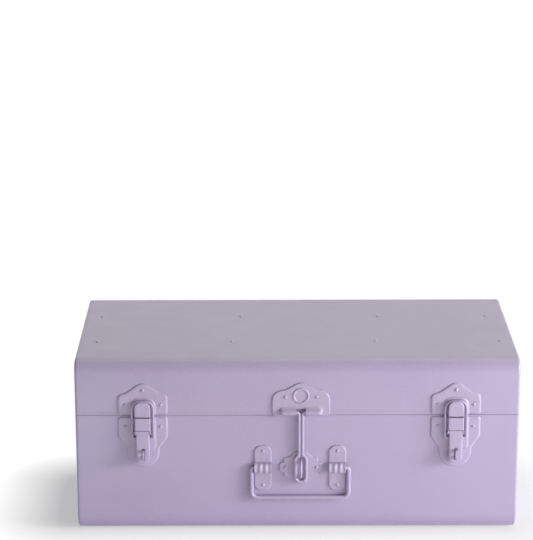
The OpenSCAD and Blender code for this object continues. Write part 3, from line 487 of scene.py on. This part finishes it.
plate_edge = crowned(32.7, plate_low, side=29.8, top=38.5, corner=12, foot=5, hollow=16, slope=30,
                     slot=[(slot_half, slot_top), (slot_half, plate_low)])
plate = press("hasp_plate_skin", plate_edge, 0, PLATE_FRONT, 1.1)
hollow_back(plate)
ledge_edge = [(slot_top, 0.9), (swell_top, 0.9), (swell_top, PLATE_FRONT), (9.8, 1.75), (9, 1.9), (8.4, 2.1)]
ledge = stand_up(lay_flat("ledge", ledge_edge, -notch_half, notch_half))
bpy.ops.object.select_all(action="DESELECT")
bpy.ops.mesh.primitive_torus_add(location=(0, 23.5, 1.35), major_segments=72, minor_segments=20,
                                 major_radius=8.2, minor_radius=1.25)
ring = settle()
roll_edge = arc(barrel_y, barrel_z, barrel_round, 276, 36, 24)
roll_edge += [(7.9, 4.1), (8.7, 2.9), (9.7, 2.0), (swell_top, PLATE_FRONT)]
roll_edge += [(swell_top, swell_back), (barrel_y, swell_back)]
taper = [(1 - 0.93 * (step / taper_steps) ** 2) ** 0.5 for step in range(taper_steps + 1)]
barrels = []
for way in (-1, 1):
    barrel = lay_flat("barrel", roll_edge, 5.3, barrel_end)
    for before, now in zip(taper, taper[1:]):
        pick_faces(barrel, lambda face: face.normal.z > 0.99 and face.center.z > barrel_end - 0.1)
        bpy.ops.mesh.extrude_region_move(TRANSFORM_OT_translate={"value": (0, 0, taper_step)})
        shrink = now / before
        bpy.ops.transform.resize(value=(0.5 + shrink / 2, shrink, 1), center_override=(barrel_y, 1.2, 0))
        bpy.ops.object.mode_set(mode="OBJECT")
    barrels.append(stand_up(barrel, way=way))
hang(join_all(plate, ledge, ring, *barrels), HASP_X, "lid", "hasp_plate")


# ---- Staple plate -------------------------------------------------------------------------------
# Plate with a round lobe at each end for its rivets and a flat crown above and below the staple.
# It spreads the staple's pull over the thin front wall.

staple_y = -62.3
right = [(5.5, -19.3, 2), (14, -12.1, 1.5), (19.5, -12.1, 2.2), (19.5, -6.1, 0.4), (22.9, -6.1, 3),
         (24.7, -2.6, 3)]
right += [(x, -y, radius) for x, y, radius in reversed(right)]
left = [(-x, y, radius) for x, y, radius in reversed(right)]
plate_edge = [(x, y + staple_y) for x, y in rounded(right + left)]
plate = press("staple_plate_skin", plate_edge, 0, PLATE_FRONT, 1)
hollow_back(plate, wall=0.8)
hang(plate, HASP_X, "base", "staple_plate")


# ---- Handle brackets ----------------------------------------------------------------------------
# Strap plates, riveted above and below, whose middle swells over the handle wire in raised loops:
# two full loops with valleys between, and half a lower one at each edge.

wire_y, bracket_half, bracket_spread, strap_corner = -62.2, 9.8, 42.2, 8
opening_half, swell_reach, swell_rise = 5.5, 6.1, 5.1
loop_pitch, loop_rise = 6.3, 1.1

strap_edge = both_sides(arc(bracket_half - strap_corner, -82.1, strap_corner, -90, 0)
                        + arc(bracket_half - strap_corner, -44, strap_corner, 0, 90))
plate = press("handle_bracket_left_skin", strap_edge, 0, PLATE_FRONT, 1)
hollow_back(plate)
cut_out(plate, block("opening", -12, 12, wire_y - opening_half, wire_y + opening_half, -1, 4))
bpy.ops.object.select_all(action="DESELECT")
bpy.ops.mesh.primitive_grid_add(x_subdivisions=72, y_subdivisions=40, size=2)
swell = bpy.context.object
for corner in swell.data.vertices:
    along, round_wire = corner.co.x * bracket_half, corner.co.y
    loop = loop_rise * min(1, 1.8 - abs(along) / 8) * sin(pi * along / loop_pitch) ** 2
    swing = radians(90 * abs(round_wire))
    way = 1 if round_wire > 0 else -1
    corner.co = (along, wire_y + way * swell_reach * sin(swing) ** 0.85,
                 1.5 + (swell_rise + loop) * max(cos(swing), 0) ** 0.55)
swell.data.update()
wall = swell.modifiers.new("wall", "SOLIDIFY")
wall.thickness = 0.85
wall.offset = -1
bpy.ops.object.modifier_apply(modifier="wall")
bracket = hang(join_all(plate, swell), HANDLE_X - bracket_spread, "base", "handle_bracket_left")
twin(bracket, "handle_bracket_right_skin", 2 * bracket_spread, "base", "handle_bracket_right")


# ---- Levers -------------------------------------------------------------------------------------
# Pressed channels with a domed lower end, a window for the padlock tab and a dish beside it.
# The upper end is rolled round the pin, and two holes in the cheeks carry the bail.

lever_half, lever_wall = 7.6, 1.0
BAIL_Y, BAIL_Z, BAIL_WIRE, bore_gap = -25.5, 4.8, 1.5, 0.05
dish_round, dish_centre = 8, (-1.8, TAB_Y, 16.35)

lever_edge = both_sides(arc(0.6, -48.2, 7, -90, 0, 14) + [(lever_half, -18.4)])
lever = lay_flat("latch_lever_left_skin", lever_edge, 2.5, LATCH_FRONT)
bevel_rim(lever, lambda face: face.normal.z > 0.99, 1.5, 6)
inner_edge = both_sides(arc(0, -47.6, 6.6, -90, 0, 14) + [(lever_half - lever_wall, -10)])
cut_out(lever, lay_flat("inside", inner_edge, 1, LATCH_FRONT - lever_wall))
knuckle = round_bar(0, PIN_Y, PIN_Z, 2.15, 2 * lever_half)
bevel_rim(knuckle, lambda face: abs(face.normal.x) > 0.9, 0.3, 3)
brow = block("brow", -lever_half, lever_half, -19, -15.9, 6.9, 8.88)
bpy.ops.object.mode_set(mode="EDIT")
bpy.ops.mesh.select_mode(type="EDGE")
bpy.ops.mesh.bevel(offset=0.6, segments=4, affect="EDGES")
bpy.ops.object.mode_set(mode="OBJECT")
cut_out(lever, block("window", -1, 2.2, -51, -36.9, 6, 10))
bpy.ops.object.select_all(action="DESELECT")
bpy.ops.mesh.primitive_uv_sphere_add(segments=96, ring_count=48, radius=dish_round, location=dish_centre)
cut_out(lever, settle())
cut_out(lever, round_bar(0, BAIL_Y, BAIL_Z, BAIL_WIRE + bore_gap, 20))
cut_out(knuckle, round_bar(0, PIN_Y, PIN_Z, 1.1 + bore_gap, 20))
lever = hang(join_all(lever, knuckle, brow), LATCH_X, "lever_left", "latch_lever_left")
twin(lever, "latch_lever_right_skin", LATCH_STEP, "lever_right", "latch_lever_right")


# ---- Bails --------------------------------------------------------------------------------------
# Each bail is 3 mm wire bent square over the nose, its two ends turned into the lever's cheeks.
# Its bar sits on the nose's shelf and draws the lid down as the lever closes.

bail_half, bail_top, bail_end = 12, 17.6, 6.6
path = rounded([(bail_end, BAIL_Y, 0.1), (bail_half, BAIL_Y, 1.7), (bail_half, bail_top, 8.5),
                (-bail_half, bail_top, 8.5), (-bail_half, BAIL_Y, 1.7), (-bail_end, BAIL_Y, 0.1)])[3:-3]
drawn = bpy.data.curves.new("latch_bail_left_skin", "CURVE")
drawn.dimensions = "3D"
drawn.bevel_depth = BAIL_WIRE
drawn.bevel_resolution = 6
drawn.use_fill_caps = True
line = drawn.splines.new("POLY")
line.points.add(len(path) - 1)
for point, (x, y) in zip(line.points, path):
    point.co = (x, y, BAIL_Z, 1)
wire = bpy.data.objects.new("latch_bail_left_skin", drawn)
scene.collection.objects.link(wire)
only(wire)
bpy.ops.object.convert(target="MESH")
bpy.ops.object.mode_set(mode="EDIT")
bpy.ops.mesh.select_all(action="SELECT")
bpy.ops.mesh.remove_doubles(threshold=0.001)
bpy.ops.mesh.normals_make_consistent(inside=False)
bpy.ops.object.mode_set(mode="OBJECT")
bail = hang(bpy.context.object, LATCH_X, "bail_left", "latch_bail_left")
twin(bail, "latch_bail_right_skin", LATCH_STEP, "bail_right", "latch_bail_right")


# ---- Floor --------------------------------------------------------------------------------------
# A white paper floor with a painted glow mixed into what is seen of it: it keeps a lightened shadow of the
# trunk and turns fully white a hand's breadth away.
# The glow grows outward from a box under the front half of the trunk.

box_middle, box_half = (0.005, 0.0275, 0), (0.25, 0.0525, 0)

bpy.ops.object.select_all(action="DESELECT")
bpy.ops.mesh.primitive_plane_add(size=30, location=(0, 0, -0.0002))
floor = bpy.context.object
floor.name = "floor"
paper = bpy.data.materials.new("white_paper_painted_glow")
paper.use_nodes = True
tree = paper.node_tree
sheet = tree.nodes["Principled BSDF"]
sheet.inputs["Base Color"].default_value = (0.92, 0.92, 0.92, 1)
sheet.inputs["Roughness"].default_value = 0.9
sheet.inputs["Specular IOR Level"].default_value = 0
place = add_node(tree, "ShaderNodeTexCoord")
centred = add_node(tree, "ShaderNodeMapping", [(place, "Object", 0)], {"Location": box_middle})
outward = add_node(tree, "ShaderNodeVectorMath", [(centred, 0, 0)], operation="ABSOLUTE")
beyond = add_node(tree, "ShaderNodeVectorMath", [(outward, 0, 0)], {1: box_half}, operation="SUBTRACT")
beyond = add_node(tree, "ShaderNodeVectorMath", [(beyond, 0, 0)], operation="MAXIMUM")
far = add_node(tree, "ShaderNodeVectorMath", [(beyond, 0, 0)], operation="LENGTH")
# painted glow: over a third of full white next to the trunk, rising to full white 0.1 m out
clear = span(tree, far, "Value", 0.02, 0.1, 0.37, 1.0)


def seen_rays(tree):
    """Share of rays that look straight at a surface, or at it in metal or glass."""
    rays = add_node(tree, "ShaderNodeLightPath")
    some = add_node(tree, "ShaderNodeMath", [(rays, "Is Camera Ray", 0), (rays, "Is Glossy Ray", 1)],
                    operation="ADD")
    return add_node(tree, "ShaderNodeMath", [(some, 0, 0), (rays, "Is Transmission Ray", 1)],
                    operation="ADD", use_clamp=True)


# the painted glow is mixed in only for camera, glossy and transmission rays, so it lightens the floor's
# shadow where it is seen
share = add_node(tree, "ShaderNodeMath", [(clear, 0, 0), (seen_rays(tree), 0, 1)], operation="MULTIPLY")
white = add_node(tree, "ShaderNodeEmission", sockets={"Color": (1, 1, 1, 1), "Strength": 1.0})
faded = add_node(tree, "ShaderNodeMixShader", [(share, 0, 0), (sheet, 0, 1), (white, 0, 2)])
tree.links.new(faded.outputs[0], tree.nodes["Material Output"].inputs[0])
floor.data.materials.append(paper)


# ---- Light --------------------------------------------------------------------------------------
# A softbox far to the right rakes the front, and a wide one overhead lights the lid.
# Two strips near the floor give back what a white floor throws up at the front.

world = bpy.data.worlds.new("studio")
scene.world = world
world.use_nodes = True
tree = world.node_tree
room = tree.nodes["Background"]
room.inputs["Color"].default_value = (1, 1, 1, 1)
room.inputs["Strength"].default_value = 0.14
white = add_node(tree, "ShaderNodeBackground", sockets={"Color": (1, 1, 1, 1), "Strength": 1.0})
seen = add_node(tree, "ShaderNodeMixShader", [(seen_rays(tree), 0, 0), (room, 0, 1), (white, 0, 2)])
tree.links.new(seen.outputs[0], tree.nodes["World Output"].inputs[0])


def soft_light(name, place, target, size, power):
    """Softbox at a place, turned to its target."""
    data = bpy.data.lights.new(name, "AREA")
    data.shape = "RECTANGLE"
    data.size, data.size_y = size
    data.energy = power
    lamp = bpy.data.objects.new(name, data)
    scene.collection.objects.link(lamp)
    lamp.location = place
    lamp.rotation_euler = (Vector(target) - Vector(place)).to_track_quat("-Z", "Y").to_euler()


soft_light("key", (2.66, -1.0, 0.85), (0, -0.1, 0.1), size=(0.8, 0.8), power=72)
soft_light("side_fill", (0.92, -0.84, 0.04), (0.12, -0.125, 0.02), size=(0.6, 0.2), power=5.2)
soft_light("overhead", (0.3, 0.5, 1.7), (0, 0, 0.2), size=(1.6, 1.4), power=9.2)
soft_light("low_fill", (-0.1, -0.5, 0.01), (0, -0.125, -0.02), size=(1.4, 0.1), power=0.72)
